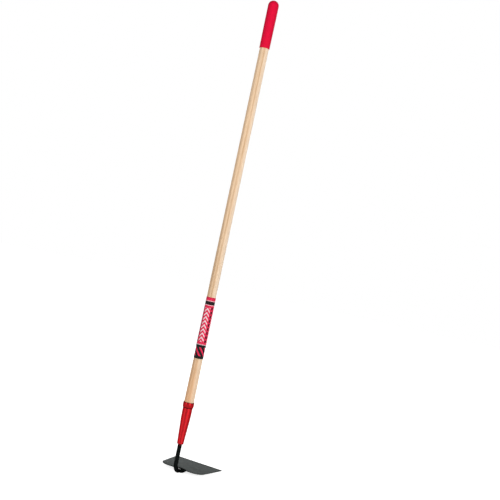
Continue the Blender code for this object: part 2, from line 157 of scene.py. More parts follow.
class WoodSettings(bpy.types.PropertyGroup):
    """The turned pole."""

    slim: length("Slim diameter", "Diameter of the pole above its swell", 0.028)
    swell: length("Swell", "Length over which the pole thickens towards the ferrule", 0.34)
    ease: FloatProperty(name="Ease", description="How late the swell sets in", default=1.4)
    top_round: length("Top round", "Rounding of the pole's end", 0.006)
    waver: length("Waver", "How far the sanded surface strays from round", 0.00008)
    row: length("Row", "Length of one row of faces", 0.012)
    pale: colour("Pale", "Early wood", (0.87, 0.635, 0.425))
    # Painted light: the pole's right side is drawn paler, where the key lamp falls.
    lit_right: colour("Cream", "Early wood where it is palest", (0.92, 0.73, 0.545))
    late: colour("Tan", "Late wood", (0.73, 0.465, 0.255))
    brown: colour("Brown", "Pores and streaks", (0.45, 0.24, 0.1))
    # Partly late wood and partly painted shade: the colour of the tan stripe and of the second band.
    stripe: colour("Stripe", "The widest band of late wood", (0.62, 0.4, 0.225))
    # Painted shade, partly warmer wood: the pole's front and left near the ferrule are drawn darker and
    # warmer.
    shaded_left: colour("Heart", "Warmer wood near the ferrule", (0.8, 0.45, 0.235))
    shade_reach: length("Warm", "Length above the ferrule over which the wood is warmer", 0.2)
    ring_gap: length("Ring gap", "Width of one year's growth", 0.0032)
    pith: length("Pith", "From the pole's middle to the middle of its tree", 0.065)
    face: turn("Face", "Side of the pole from which the turns of its grain are counted", 25.229)
    stripe_high: turn("Stripe high", "Where the tan stripe lies at the top", 11)
    stripe_low: turn("Stripe low", "Where the tan stripe lies at the ferrule", -7)
    stripe_width: turn("Stripe width", "Turn over which the tan stripe fades out", 17)
    # Painted shade, partly late wood: a second tan band on the pole's left side, strongest near the ferrule.
    band: turn("Band", "Where a second band of late wood lies", -48)
    band_width: turn("Band width", "Turn over which the second band fades out", 17)


class FerruleSettings(bpy.types.PropertyGroup):
    """The steel socket and its rivet."""

    wall: length("Wall", "Sheet thickness", 0.0013)
    step_in: length("Step in", "How far the body lies inside the pole's surface", 0.0002)
    collar: length("Collar", "Height of the rolled collar", 0.0171)
    collar_rise: length("Collar rise", "How far the collar stands proud", 0.0021)
    lip: length("Lip", "Thickness at the mouth", 0.0007)
    knee_drop: length("Knee drop", "From the collar down to where the cone starts", 0.024)
    knee_radius: length("Knee radius", "Radius of the run from body to cone", 0.8)
    nose: length("Nose", "Height of the rounded nose", 0.0055)
    nose_lip: length("Nose lip", "Thickness of the nose round the rod", 0.0034)
    nose_round: length("Nose round", "Rounding of the nose", 0.0022)
    red: colour("Enamel", "Red enamel", (0.4, 0.012, 0.016))
    # Painted shade: near-black red drawn into the creases at the collar's edges and at the nose.
    crease_shade: colour("Grime", "Dirt and thick enamel in the collar's creases", (0.03, 0.006, 0.006))
    chip: colour("Chip", "Worn enamel round the nose", (0.05, 0.01, 0.01))
    crease: length("Crease", "Height of the dark line at each side of the collar", 0.0022)
    # Painted shade: the collar is drawn in a darker copy of the same red.
    collar_painted_shade: share("Collar shade", "Red of the thick enamel on the collar, beside the rest", 0.78)
    collar_rough: share("Collar roughness", "Roughness of the enamel on the collar, beside the rest", 0.5)
    metal: share("Metal", "How much of the steel shines through the enamel", 0.9)
    steel: colour("Rivet", "Zinc plate of the rivet", (0.55, 0.56, 0.58))


class GripSettings(bpy.types.PropertyGroup):
    """The cap over the pole's end."""

    rim_wall: length("Rim wall", "Thickness at the lower rim", 0.0013)
    dome: length("Dome", "Height of the domed end", 0.0155)
    taper: length("Taper", "Length over which the wall thins to the rim", 0.09)
    rim_round: length("Rim round", "Rounding of the rim", 0.0006)
    red: colour("Vinyl", "Crimson vinyl", (0.93, 0.007, 0.052))
    # Painted shade: a tint on the clear coat that darkens the red where the grip is seen at a slant, towards
    # its edges.
    skin: colour("Skin", "Dye of the vinyl's clear skin, deeper where seen at a slant", (0.84, 0.86, 0.86))


class SleeveSettings(bpy.types.PropertyGroup):
    """The printed film round the pole."""

    wall: length("Film", "Film thickness", 0.00025)
    lap: turn("Lap", "How far the end runs over the start", 28)
    ramp: turn("Ramp", "Turn over which the end climbs onto the start", 30)
    front: turn("Front", "Side of the pole on which the chevrons stand", 12.629)
    red: colour("Red", "Ground colour", (0.76, 0.02, 0.08))
    black: colour("Black", "Bands and bars", (0.007, 0.006, 0.006))
    pale: colour("Pale", "Fine lines and chevrons", (0.88, 0.66, 0.68))
    wear_and_glint: colour("Worn", "Faint specks in the ink", (0.5, 0.4, 0.4))


class NeckSettings(bpy.types.PropertyGroup):
    """The bent rod and its weld beads."""

    bend_radius: length("Bend radius", "Middle of the rod to the bend's centre", 0.0265)
    foot: length("Foot", "Length of the foot under the blade", 0.039)
    foot_chamfer: length("Foot chamfer", "Chamfer of the foot's end", 0.0015)
    seat_depth: length("Seat depth", "How deep the foot is pressed flat", 0.0024)
    seat_lead: length("Seat lead", "How far the flat runs past the blade", 0.0015)
    side_bead: length("Side bead", "Radius of the beads along the foot", 0.0058)
    side_bead_bed: length("Side bead bed", "From the rod's side to the beads' middle", 0.0017)
    side_bead_full: share("Side bead fullness", "0 is a sausage, 1 a lens", 0.3)
    side_bead_lead: length("Side bead lead", "How far the beads start behind the blade's edge", 0.0075)
    side_bead_inset: length("Side bead inset", "From the foot's end to the beads", 0.007)
    back_bead: length("Back bead", "Radius of the bead behind the blade", 0.0042)
    back_bead_half: length("Back bead half", "Half the length of the bead behind the blade", 0.022)
    back_bead_shift: length("Back bead shift", "From the rod's middle to the middle of that bead", 0.0035)
    back_bead_full: share("Back bead fullness", "0 is a sausage, 1 a lens", 0.55)
    back_bead_offset: length("Back bead offset", "From the blade's back edge to the bead's middle", 0.0018)
    ripple: length("Ripple", "Distance between the weld's ripples", 0.003)
    # Painted highlight: a grey spot on the back of the back bead, in bare weld grey, stands for a glint.
    rub: FloatVectorProperty(name="Rub", description="Half size of the spot rubbed bare on the back bead",
                             default=(0.005, 0.003, 0.002), subtype="XYZ", unit="LENGTH", precision=5)
    weld: colour("Weld", "Bare weld", (0.46, 0.47, 0.47))
    overlap: length("Overlap", "How far the ferrule's enamel runs onto the rod", 0.0045)
    enamel: colour("Enamel", "Thin enamel over the black paint", (0.06, 0.006, 0.006))
    black: colour("Paint", "Black paint", (0.0036, 0.0044, 0.0042))
    metal: share("Metal", "How much of the steel shines through the paint", 0.8)


class BladeSettings(bpy.types.PropertyGroup):
    """The blade's plate."""

    depth: length("Depth", "From the back edge to the cutting edge", 0.13)
    thickness: length("Thickness", "Plate thickness", 0.0024)
    side_angle: turn("Side angle", "How far each side leans out", 5.8)
    rise: turn("Rise", "How far the blade is closed towards the pole", 0.4)
    setback: length("Setback", "From the bend's foot to the back edge", 0.0024)
    shoulder: length("Shoulder", "Radius of the back corners", 0.03)
    ground: length("Ground", "Width of the ground bevel", 0.009)
    land: length("Land", "Thickness left at the cutting edge", 0.0006)
    edge_round: length("Edge round", "Rounding of the plate's rim", 0.0004)
    # A darker band along the top of the cutting edge.
    front_dark: length("Burnt", "Width that grinding the bevel has darkened", 0.008)
    grey: colour("Grey", "Satin lacquer", (0.089, 0.101, 0.098))
    bare: colour("Bare", "Ground steel", (0.36, 0.37, 0.38))


def settings(name):
    """One of the scene's property groups."""
    return getattr(bpy.context.scene, "hoe_" + name)


def put(name, data, place):
    """Adds an object to the scene at its place."""
    item = bpy.data.objects.new(name, data)
    bpy.context.scene.collection.objects.link(item)
    item.matrix_world = place
    return item


def framed(across, up, out, centre):
    """The matrix that turns X, Y and Z into three directions and moves the origin to a centre."""
    place = Matrix((across, up, out)).transposed().to_4x4()
    place.translation = centre
    return place


def outward(turned):
    """Level unit vector away from the pole, at a turn counted from -Y."""
    return Vector((sin(turned), -cos(turned), 0))


def add_piece(name, bm, material, place=None, crease=radians(35)):
    """Makes a closed mesh a piece that rides with the hoe and stands for the CAD node it is named after."""
    bmesh.ops.recalc_face_normals(bm, faces=bm.faces)
    mesh = bpy.data.meshes.new(name + "_surface")
    bm.to_mesh(mesh)
    bm.free()
    mesh.shade_smooth()
    mesh.set_sharp_from_angle(angle=crease)
    mesh.materials.append(material)
    piece = put(name + "_surface", mesh, place or Matrix.Translation(AXIS))
    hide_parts(name)
    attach(piece, BODY)
    return piece


def settled(bm):
    """Puts vertices and faces in a fixed order, because some operators leave another one in each run."""
    bmesh.ops.recalc_face_normals(bm, faces=bm.faces)
    verts = sorted(bm.verts, key=lambda vert: vert.co[:])
    points = [vert.co.copy() for vert in verts]
    places = {vert: place for place, vert in enumerate(verts)}
    faces = []
    for face in bm.faces:
        corners = [places[vert] for vert in face.verts]
        # Four corners turn only by half, so that the face is still cut along the same diagonal.
        first = corners.index(min(corners[::2] if len(corners) == 4 else corners))
        faces.append(corners[first:] + corners[:first])
    bm.clear()
    verts = [bm.verts.new(point) for point in points]
    for corners in sorted(faces):
        bm.faces.new([verts[corner] for corner in corners])
    return bm


def rounded(before, corner, after, radius, steps):
    """Points of the arc that rounds one corner of a flat outline."""
    corner = Vector(corner)
    back = (Vector(before) - corner).normalized()
    ahead = (Vector(after) - corner).normalized()
    half = back.angle(ahead) / 2
    centre = corner + (back + ahead).normalized() * radius / sin(half)
    first = corner + back * radius / tan(half) - centre
    last = corner + ahead * radius / tan(half) - centre
    return [centre + first.lerp(last, step / steps).normalized() * radius for step in range(steps + 1)]


def spun(profile, steps=ROUND_FACES, closed=False):
    """Revolves (radius, height) points about Z; a closed profile makes a ring."""
    bm = bmesh.new()
    verts = [bm.verts.new((radius, 0, height)) for radius, height in profile]
    edges = [bm.edges.new(pair) for pair in zip(verts, verts[1:])]
    if closed:
        edges.append(bm.edges.new((verts[-1], verts[0])))
    bmesh.ops.spin(bm, geom=verts + edges, cent=(0, 0, 0), axis=UP, angle=2 * pi, steps=steps,
                   use_merge=True)
    bmesh.ops.remove_doubles(bm, verts=bm.verts, dist=MERGE)
    return settled(bm)


def domed(radius, base, rise, steps):
    """Points of a quarter of an ellipse, from its widest place up to its top."""
    turns = [pi / 2 * step / steps for step in range(steps)]
    return [(radius * cos(angle), base + rise * sin(angle)) for angle in turns] + [(0, base + rise)]


def radius_at(outline, height):
    """Radius of a turned outline at one height."""
    for (low_radius, low), (high_radius, high) in zip(outline, outline[1:]):
        if low <= height <= high:
            return low_radius + (high_radius - low_radius) * (height - low) / (high - low)
    return outline[-1][0]


def ring_edges(ring):
    """The edges that join one ring's own vertices."""
    members = set(ring)
    return list({edge for vert in ring for edge in vert.link_edges
                 if edge.verts[0] in members and edge.verts[1] in members})


def bridged(bm, rings):
    """Joins rings of vertices one to the next and caps both ends."""
    loops = [ring_edges(ring) for ring in rings]
    for low, high in zip(loops, loops[1:]):
        bmesh.ops.bridge_loops(bm, edges=low + high)
    for end in (loops[0], loops[-1]):
        bmesh.ops.edgeloop_fill(bm, edges=end)
    return settled(bm)


def swept(stations, steps):
    """Bridges circles of (centre, tangent, radius) along a path in the YZ plane and caps both ends."""
    bm = bmesh.new()
    rings = []
    for centre, tangent, radius in stations:
        place = framed(RIGHT, tangent.cross(RIGHT).normalized(), tangent.normalized(), centre)
        rings.append(bmesh.ops.create_circle(bm, segments=steps, radius=radius, matrix=place)["verts"])
    return bridged(bm, rings)


class Nodes:
    """Makes and joins the shader nodes of one material or world."""

    def __init__(self, holder):
        holder.use_nodes = True
        self.holder = holder
        self.tree = holder.node_tree

    def fill(self, item, values):
        """Feeds a node's sockets, each with a value or from another node's socket."""
        for name, value in values.items():
            if isinstance(value, bpy.types.NodeSocket):
                self.tree.links.new(value, item.inputs[name])
            else:
                item.inputs[name].default_value = value

    def add(self, kind, values=None, **choices):
        """One node: its choices first, then its sockets."""
        item = self.tree.nodes.new(kind)
        for name, choice in choices.items():
            setattr(item, name, choice)
        self.fill(item, values or {})
        return item

    def maths(self, operation, *operands):
        """One Math node's result."""
        return self.add("ShaderNodeMath", dict(enumerate(operands)), operation=operation).outputs[0]

    def times(self, first, second):
        """The product of two numbers."""
        return self.maths("MULTIPLY", first, second)

    def apart(self, first, second):
        """How far two numbers lie apart."""
        return self.maths("ABSOLUTE", self.maths("SUBTRACT", first, second))

    def vector_maths(self, operation, *operands):
        """One Vector Math node's results."""
        return self.add("ShaderNodeVectorMath", dict(enumerate(operands)), operation=operation).outputs

    def along(self, place, direction):
        """How far a point lies in one direction."""
        return self.vector_maths("DOT_PRODUCT", place, direction)["Value"]

    def mixed(self, factor, first, second):
        """A blend of two colours, each given as three numbers or as a socket."""
        pair = [item if isinstance(item, bpy.types.NodeSocket) else (*item, 1) for item in (first, second)]
        values = {0: factor, 6: pair[0], 7: pair[1]}
        return self.add("ShaderNodeMix", values, data_type="RGBA").outputs[2]

    def ramped(self, factor, low, high, start=0.0, end=1.0):
        """A number between start and end as the factor goes from low to high."""
        values = {0: factor, 1: low, 2: high, 3: start, 4: end}
        return self.add("ShaderNodeMapRange", values, interpolation_type="SMOOTHSTEP").outputs[0]

    def over(self, base, tone, *ramp):
        """A base colour under a second one, whose share is what ramped gives."""
        return self.mixed(self.ramped(*ramp), base, tone)

    def stretched(self, place, stretch):
        """Coordinates scaled along each axis."""
        return self.add("ShaderNodeMapping", {"Vector": place, "Scale": stretch}).outputs[0]

    def cloudy(self, place, scale, detail=3.0, roughness=0.5):
        """A noise pattern's strength. Its scale is one number, or three that stretch it along the axes."""
        if isinstance(scale, tuple):
            place, scale = self.stretched(place, scale), 1.0
        values = {"Vector": place, "Scale": scale, "Detail": detail, "Roughness": roughness}
        return self.add("ShaderNodeTexNoise", values).outputs[0]

    def bumped(self, height, strength, distance, normal=None):
        """A surface normal from a height pattern."""
        values = {"Height": height, "Strength": strength, "Distance": distance}
        if normal:
            values["Normal"] = normal
        return self.add("ShaderNodeBump", values).outputs[0]

    def seen_rays(self):
        """1 for what the camera sees, also in gloss and through glass, and 0 for what only lights the hoe."""
        path = self.add("ShaderNodeLightPath").outputs
        seen = self.maths("MAXIMUM", path["Is Camera Ray"], path["Is Glossy Ray"])
        return self.maths("MAXIMUM", seen, path["Is Transmission Ray"])

    def finish(self, **sockets):
        """Feeds the shader, with underscores for the spaces in its sockets' names, and gives the material."""
        values = {name.replace("_", " "): value for name, value in sockets.items()}
        self.fill(self.tree.nodes["Principled BSDF"], values)
        return self.holder


def started(name):
    """The nodes of a new material and its object coordinates."""
    make = Nodes(bpy.data.materials.new(name))
    return make, make.add("ShaderNodeTexCoord").outputs["Object"]


def darker(tone, factor):
    """A colour with each part multiplied by one factor."""
    return [part * factor for part in tone]


def wood_finish(own):
    """Straight grained pale wood under a thin satin lacquer. A tan stripe runs along its front, partly late
    wood and partly painted shade; the pole's right side is painted paler as light, and its left side near the
    ferrule darker as shade.
    """
    make, place = started("ash_wood")
    height = make.along(place, UP)
    front = outward(own.face)
    right = outward(own.face + pi / 2)
    angle = make.maths("ARCTAN2", make.along(place, right), make.along(place, front))

    drift = make.add("ShaderNodeTexNoise", {"Vector": make.stretched(place, (6, 6, 1.6)), "Scale": 1.0,
                                            "Detail": 1.0}).outputs[1]
    centred = make.vector_maths("SUBTRACT", drift, (0.5, 0.5, 0.5))[0]
    pushed = make.vector_maths("MULTIPLY_ADD", centred, (0.009, 0.009, 0), place)[0]
    tree = make.add("ShaderNodeMapping", {"Vector": pushed, "Location": front * own.pith,
                                          "Scale": (1, 1, 0.012)}).outputs[0]
    waves = {"Vector": tree, "Scale": WAVE_SCALE / own.ring_gap, "Distortion": 0.0}
    rings = make.add("ShaderNodeTexWave", waves, wave_type="RINGS", rings_direction="Z",
                     wave_profile="SAW").outputs[1]
    fibre = make.cloudy(place, (900, 900, 9), 4, 0.6)
    streak = make.cloudy(place, (170, 170, 1.5), 3, 0.6)
    wander = make.cloudy(place, (9, 9, 2.2), 2)

    # Painted light: paler on the pole's right side.
    base = make.over(own.pale, own.lit_right, angle, 0, 0.7)
    base = make.over(base, own.late, rings, 0.45, 0.95, 0, 0.34)
    base = make.over(base, own.late, streak, 0.42, 0.74, 0, 0.4)

    # The tan stripe down the front is partly late wood and partly painted shade, between the two lamps'
    # gloss.
    sway = make.maths("MULTIPLY_ADD", wander, 0.5, -0.25)
    middle = make.ramped(height, FERRULE_HIGH.z, GRIP_LOW.z, own.stripe_low, own.stripe_high)
    off = make.apart(angle, make.maths("ADD", middle, sway))
    edge = make.maths("MULTIPLY_ADD", streak, 0.5, -0.25)
    off = make.maths("ADD", off, edge)
    stripe = make.ramped(off, own.stripe_width * 0.25, own.stripe_width * 1.15, 1, 0)
    blotch = make.ramped(make.cloudy(place, (60, 60, 12)), 0.3, 0.7, 0.6, 1)
    base = make.mixed(make.times(stripe, blotch), base, own.stripe)
    # Painted shade, partly late wood: the second tan band on the pole's left.
    aside = make.apart(angle, own.band)
    band = make.times(make.ramped(aside, own.band_width * 0.7, own.band_width * 1.4, 1, 0),
                      make.ramped(height, FERRULE_HIGH.z, GRIP_LOW.z, 1, 0.3))
    base = make.mixed(band, base, own.stripe)

    # Painted shade, partly warmer wood: darker and warmer on the front and left, low down near the ferrule.
    low = make.ramped(height, FERRULE_HIGH.z, FERRULE_HIGH.z + own.shade_reach, 0.75, 0)
    left = make.ramped(angle, 0.75, 0, 0.25, 1)
    base = make.mixed(make.times(low, left), base, own.shaded_left)
    base = make.over(base, own.brown, fibre, 0.53, 0.68, 0, 0.36)
    pores = make.cloudy(place, (1500, 1500, 45), 2)
    base = make.over(base, own.brown, pores, 0.6, 0.68, 0, 0.55)
    shade = make.ramped(wander, 0.3, 0.7, 0.96, 1.04)
    tint = make.add("ShaderNodeHueSaturation", {"Color": base, "Value": shade}).outputs[0]
    return make.finish(Base_Color=tint, Roughness=make.ramped(fibre, 0.3, 0.75, 0.38, 0.52),
                       Specular_IOR_Level=0.28, Normal=make.bumped(fibre, 0.3, 0.0002))


def enamel_finish(own):
    """Glossy red enamel over bright steel, with a faint orange peel and wear round the nose; the collar and
    its creases carry painted shade.
    """
    make, place = started("red_enamel")
    peel = make.cloudy(place, 520, 2)
    cloud = make.cloudy(place, (40, 40, 18))
    tone = make.over(own.red, darker(own.red, 0.75), cloud, 0.3, 0.75, 0, 0.3)
    height = make.along(place, UP)
    low = FERRULE_LOW.z
    wear_and_glint = make.ramped(height, low + own.nose_round, low + own.nose, 1, 0)
    chips = make.ramped(make.cloudy(place, 380, 4, 0.7), 0.5, 0.62, 0, 0.85)
    tone = make.mixed(make.times(wear_and_glint, chips), tone, own.chip)
    under = FERRULE_HIGH.z - own.collar
    rolled = make.ramped(height, under, under + own.crease)
    # Painted shade: a darker copy of the red over the collar.
    tone = make.mixed(rolled, tone, darker(own.red, own.collar_painted_shade))
    # Painted shade in the creases: dark lines at the collar's top, under the collar and at the nose.
    for crease in (FERRULE_HIGH.z, under, low):
        away = make.apart(height, crease)
        tone = make.over(tone, own.crease_shade, away, own.crease * 0.4, own.crease, 0.85, 0)
    rough = make.times(make.ramped(cloud, 0.3, 0.7, 0.29, 0.37),
                       make.ramped(rolled, 0, 1, 1, own.collar_rough))
    return make.finish(Base_Color=tone, Metallic=own.metal, Roughness=rough, Specular_IOR_Level=0.2,
                       Specular_Tint=(0.4, 0.04, 0.05, 1), Anisotropic=0.95, Anisotropic_Rotation=0.25,
                       Normal=make.bumped(peel, 0.12, 0.0003))


def vinyl_finish(own):
    """Soft dipped vinyl: matt, faintly mottled, with a fine pebble under a red tinted clear coat, whose tint
    is painted shade that deepens towards the edges.
    """
    make, place = started("soft_vinyl")
    mottle = make.cloudy(place, (60, 60, 30), 4, 0.6)
    pebble = make.cloudy(place, 1400, 3, 0.6)
    tone = make.over(own.red, darker(own.red, 0.85), mottle, 0.32, 0.72, 0, 0.35)
    normal = make.bumped(pebble, 0.25, 0.0003, make.bumped(mottle, 0.1, 0.002))
    return make.finish(Base_Color=tone, Roughness=make.ramped(pebble, 0.3, 0.7, 0.55, 0.68),
                       # The coat's tint is painted shade that darkens the grip towards its edges.
                       Specular_IOR_Level=0.04, Coat_Weight=1.0, Coat_IOR=1.03, Coat_Roughness=0.5,
                       Coat_Tint=(*own.skin, 1), Normal=normal)


def film_finish(own):
    """Printed film: red ground, a black foot with slanted bars, a black band and a column of chevrons."""
    make, place = started("printed_film")
    sheet = make.add("ShaderNodeUVMap", uv_map="print").outputs[0]
    around = make.along(sheet, RIGHT)
    up = make.along(sheet, FORWARD)

    def below(value, limit):
        """1 below a limit, else 0."""
        return make.maths("LESS_THAN", value, limit)

    def band(value, low, high):
        """1 between low and high, else 0."""
        return make.times(make.maths("GREATER_THAN", value, low), below(value, high))

    def repeated(value, part):
        """1 over the first part of each whole step of a value, else 0."""
        return below(make.maths("FRACT", value), part)

    # Heights are shares of the sleeve's length, and widths are shares of a full turn.
    foot, rows = 0.225, 15.0
    base = make.mixed(below(up, foot), own.red, own.black)
    slant = make.maths("MULTIPLY_ADD", up, 9.0, make.times(around, 6.0))
    bars = make.times(repeated(slant, 0.42), band(up, 0.045, 0.185))
    base = make.mixed(bars, base, own.red)
    for low, high in ((foot, 0.234), (0.868, 0.876), (0.938, 0.946)):
        base = make.mixed(band(up, low, high), base, own.pale)
    base = make.mixed(band(up, 0.88, 0.934), base, own.black)

    off = make.apart(around, (own.front - pi + own.lap / 2) % (2 * pi) / (2 * pi))
    climb = make.maths("MULTIPLY_ADD", up, rows, make.times(off, 9.0))
    column = make.times(below(off, 0.088), band(up, 0.275, 0.835))
    base = make.mixed(make.times(repeated(climb, 0.44), column), base, own.pale)
    ticks = make.times(band(off, 0.125, 0.185), band(up, 0.265, 0.845))
    dashes = repeated(make.times(up, rows), 0.62)
    base = make.mixed(make.times(ticks, dashes), base, own.black)

    ink = make.cloudy(place, 900, 2)
    base = make.over(base, own.wear_and_glint, ink, 0.35, 0.7, 0, 0.04)
    rub = make.cloudy(place, 120, 4, 0.65)
    crease = make.cloudy(place, (60, 60, 12), 2)
    return make.finish(Base_Color=base, Roughness=make.ramped(rub, 0.3, 0.7, 0.26, 0.38),
                       Specular_IOR_Level=0.05, Normal=make.bumped(crease, 0.1, 0.002))


def paint_finish(own, glinting=None):
    """Black paint with a soft orange peel over hot worked steel; where a point is given, a grey spot round it
    on a bead is a painted highlight.
    """
    make, place = started("black_paint")
    peel = make.cloudy(place, 420)
    scale = make.cloudy(place, 90, 4, 0.6)
    tone = make.over(own.black, darker(own.black, 2.0), scale, 0.35, 0.75, 0, 0.7)
    above = make.maths("SUBTRACT", make.along(place, UP), FERRULE_LOW.z)
    ragged = make.maths("MULTIPLY_ADD", scale, own.overlap, above)
    tone = make.over(tone, own.enamel, ragged, own.overlap * -0.5, 0)
    # Painted highlight: a grey spot drawn round the given point on the bead.
    if glinting:
        away = make.vector_maths("SUBTRACT", place, glinting)[0]
        away = make.stretched(away, [1 / size for size in own.rub])
        away = make.vector_maths("LENGTH", away)["Value"]
        wear_and_glint = make.maths("MULTIPLY_ADD", scale, 0.8, make.maths("SUBTRACT", away, 0.4))
        tone = make.over(tone, own.weld, wear_and_glint, 0.6, 1.1, 1, 0)
    normal = make.bumped(peel, 0.2, 0.0004, make.bumped(scale, 0.2, 0.001))
    return make.finish(Base_Color=tone, Metallic=own.metal, Specular_IOR_Level=0.03,
                       Roughness=make.ramped(scale, 0.3, 0.75, 0.34, 0.46),
                       Specular_Tint=(0.01, 0.01, 0.01, 1), Anisotropic=0.8, Anisotropic_Rotation=0.25,
                       Normal=normal)


def lacquer_finish(own):
    """Satin grey lacquer over rolled plate, darker along its cutting edge and on the plate's edge faces, bare
    on the ground bevel beneath.
    """
    make, place = started("blade_steel")
    rolled = make.cloudy(place, (14, 260, 260), 4, 0.6)
    patch = make.cloudy(place, (24, 34, 34), 5, 0.62)
    tone = make.over(own.grey, darker(own.grey, 0.7), rolled, 0.35, 0.65, 0, 0.6)
    tone = make.over(tone, darker(own.grey, 1.3), patch, 0.42, 0.62, 0, 0.8)
    ahead = make.along(place, FORWARD)
    front = own.setback + own.depth
    slope = make.along(make.add("ShaderNodeTexCoord").outputs["Normal"], UP)
    ground = make.ramped(ahead, front - own.ground * 1.05, front - own.ground * 0.98)
    bare = make.times(ground, make.ramped(slope, -0.6, -0.9))
    scratch = make.cloudy(place, (900, 25, 900), 3, 0.7)
    steel = make.over(own.bare, darker(own.bare, 0.55), scratch, 0.35, 0.7, 0, 0.6)
    # Darker band along the cutting edge, and darker still on the plate's edge faces.
    front_dark = make.ramped(ahead, front - own.front_dark, front - own.front_dark * 0.4, 0, 0.5)
    tone = make.mixed(front_dark, tone, darker(own.grey, 0.4))
    tone = make.over(tone, darker(own.grey, 0.3), make.maths("ABSOLUTE", slope), 0.8, 0.4)
    tone = make.mixed(bare, tone, steel)
    normal = make.bumped(scratch, 0.12, 0.0002, make.bumped(rolled, 0.12, 0.0004))
    return make.finish(Base_Color=tone, Roughness=make.ramped(patch, 0.3, 0.75, 0.46, 0.58),
                       Specular_IOR_Level=0.005, Metallic=make.times(bare, 0.9), Normal=normal)


def zinc_finish(own):
    """Dull zinc plate with fine scratches."""
    make, place = started("zinc")
    scratch = make.cloudy(place, (2500, 400, 2500), 3, 0.7)
    tone = make.over(own.steel, darker(own.steel, 0.6), scratch, 0.35, 0.7, 0, 0.5)
    return make.finish(Base_Color=tone, Metallic=1.0, Normal=make.bumped(scratch, 0.2, 0.0001),
                       Roughness=make.ramped(scratch, 0.3, 0.7, 0.28, 0.45))


def pole_radius(own, height):
    """The wood is slim for most of its length and swells towards the ferrule."""
    rise = max(0, min(1, (FERRULE_HIGH.z + own.swell - height) / own.swell))
    slim = own.slim / 2
    return slim + (BUTT_RADIUS - slim) * rise ** own.ease


def ferrule_body(own, steps):
    """Outside of the ferrule from its nose up to the collar: nose, cone and upper barrel."""
    body = BUTT_RADIUS - own.step_in
    collar = FERRULE_HIGH.z - own.collar
    nose = (ROD_RADIUS + FIT + own.nose_lip, FERRULE_LOW.z + own.nose)
    knee = (body, collar - own.knee_drop)
    return [nose, *rounded(nose, knee, (body, collar), own.knee_radius, steps), (body, collar)]


def bend_centre(neck):
    """Centre of the bend, a bend radius and half a rod above the neck's lowest point."""
    return AXIS + Vector((0, neck.bend_radius, NECK_LOW.z + ROD_RADIUS + neck.bend_radius))


def foot_frame():
    """Frame of the neck's foot: Y runs forward along the rod, Z square to it through the blade."""
    neck = settings("neck")
    tilt = Matrix.Rotation(settings("blade").rise, 4, "X")
    return Matrix.Translation(bend_centre(neck) + tilt @ (UP * -neck.bend_radius)) @ tilt


def plate_height():
    """Height of the blade's underside above the foot's axis."""
    return ROD_RADIUS - settings("neck").seat_depth + FIT


class HOE_OT_stage(bpy.types.Operator):
    """Add the camera, the white surroundings, the floor and three soft boxes"""

    bl_idname = "hoe.stage"
    bl_label = "Stage"

    def execute(self, context):
        own = settings("stage")
        context.scene.view_settings.view_transform = "Standard"
        self.add_camera(context, own)
        self.add_surroundings(context, own)
        self.add_floor(own)
        for name in ("key", "fill", "back"):
            self.add_soft_box(own, name)
        return {"FINISHED"}

    def add_camera(self, context, own):
        """The camera stands level with the pole's middle and is rolled, so that the pole leans."""
        data = bpy.data.cameras.new("camera")
        data.lens = own.lens
        back = outward(own.azimuth)
        right = outward(own.azimuth + pi / 2)
        tilt = Matrix.Rotation(own.roll, 3, back)
        centre = AXIS + back * own.distance + right * own.sideways + UP * own.height
        context.scene.camera = put("camera", data, framed(tilt @ right, tilt @ UP, back, centre))

    def add_surroundings(self, context, own):
        """White to the camera, in gloss and through glass, and dimmer where it lights the hoe."""
        make = Nodes(bpy.data.worlds.new("studio"))
        context.scene.world = make.holder
        strength = make.ramped(make.seen_rays(), 0, 1, own.ambient, 1)
        make.fill(make.tree.nodes["Background"], {"Color": (1, 1, 1, 1), "Strength": strength})

    def add_floor(self, own):
        """A pale floor, lifted to white for the camera, which keeps the hoe's soft shadow."""
        bm = bmesh.new()
        bmesh.ops.create_circle(bm, cap_ends=True, segments=ROUND_FACES, radius=own.floor_radius)
        mesh = bpy.data.meshes.new("floor")
        bm.to_mesh(mesh)
        bm.free()
        make = Nodes(bpy.data.materials.new("floor"))
        make.tree.nodes.remove(make.tree.nodes["Principled BSDF"])
        pale = make.add("ShaderNodeBsdfDiffuse", {"Color": (*[own.floor_pale] * 3, 1)}).outputs[0]
        lift = make.times(make.seen_rays(), own.floor_lift)
        glow = make.add("ShaderNodeEmission", {"Strength": lift}).outputs[0]
        both = make.add("ShaderNodeAddShader", {0: pale, 1: glow}).outputs[0]
        make.fill(make.tree.nodes["Material Output"], {"Surface": both})
        mesh.materials.append(make.holder)
        floor = put("floor", mesh, Matrix.Translation(UP * CAD_BOX[0].z))

    def add_soft_box(self, own, name):
        """One tall soft box that faces the pole."""
        data = bpy.data.lights.new(name, "AREA")
        data.shape = "RECTANGLE"
        data.size = getattr(own, name + "_width")
        data.size_y = own.lamp_height
        data.energy = getattr(own, name + "_power")
        back = outward(own.azimuth + getattr(own, name + "_angle"))
        height = (CAD_BOX[0].z + CAD_BOX[1].z) / 2 + own.lamp_rise
        put(name, data, framed(UP.cross(back), UP, back, AXIS + back * own.lamp_distance + UP * height))


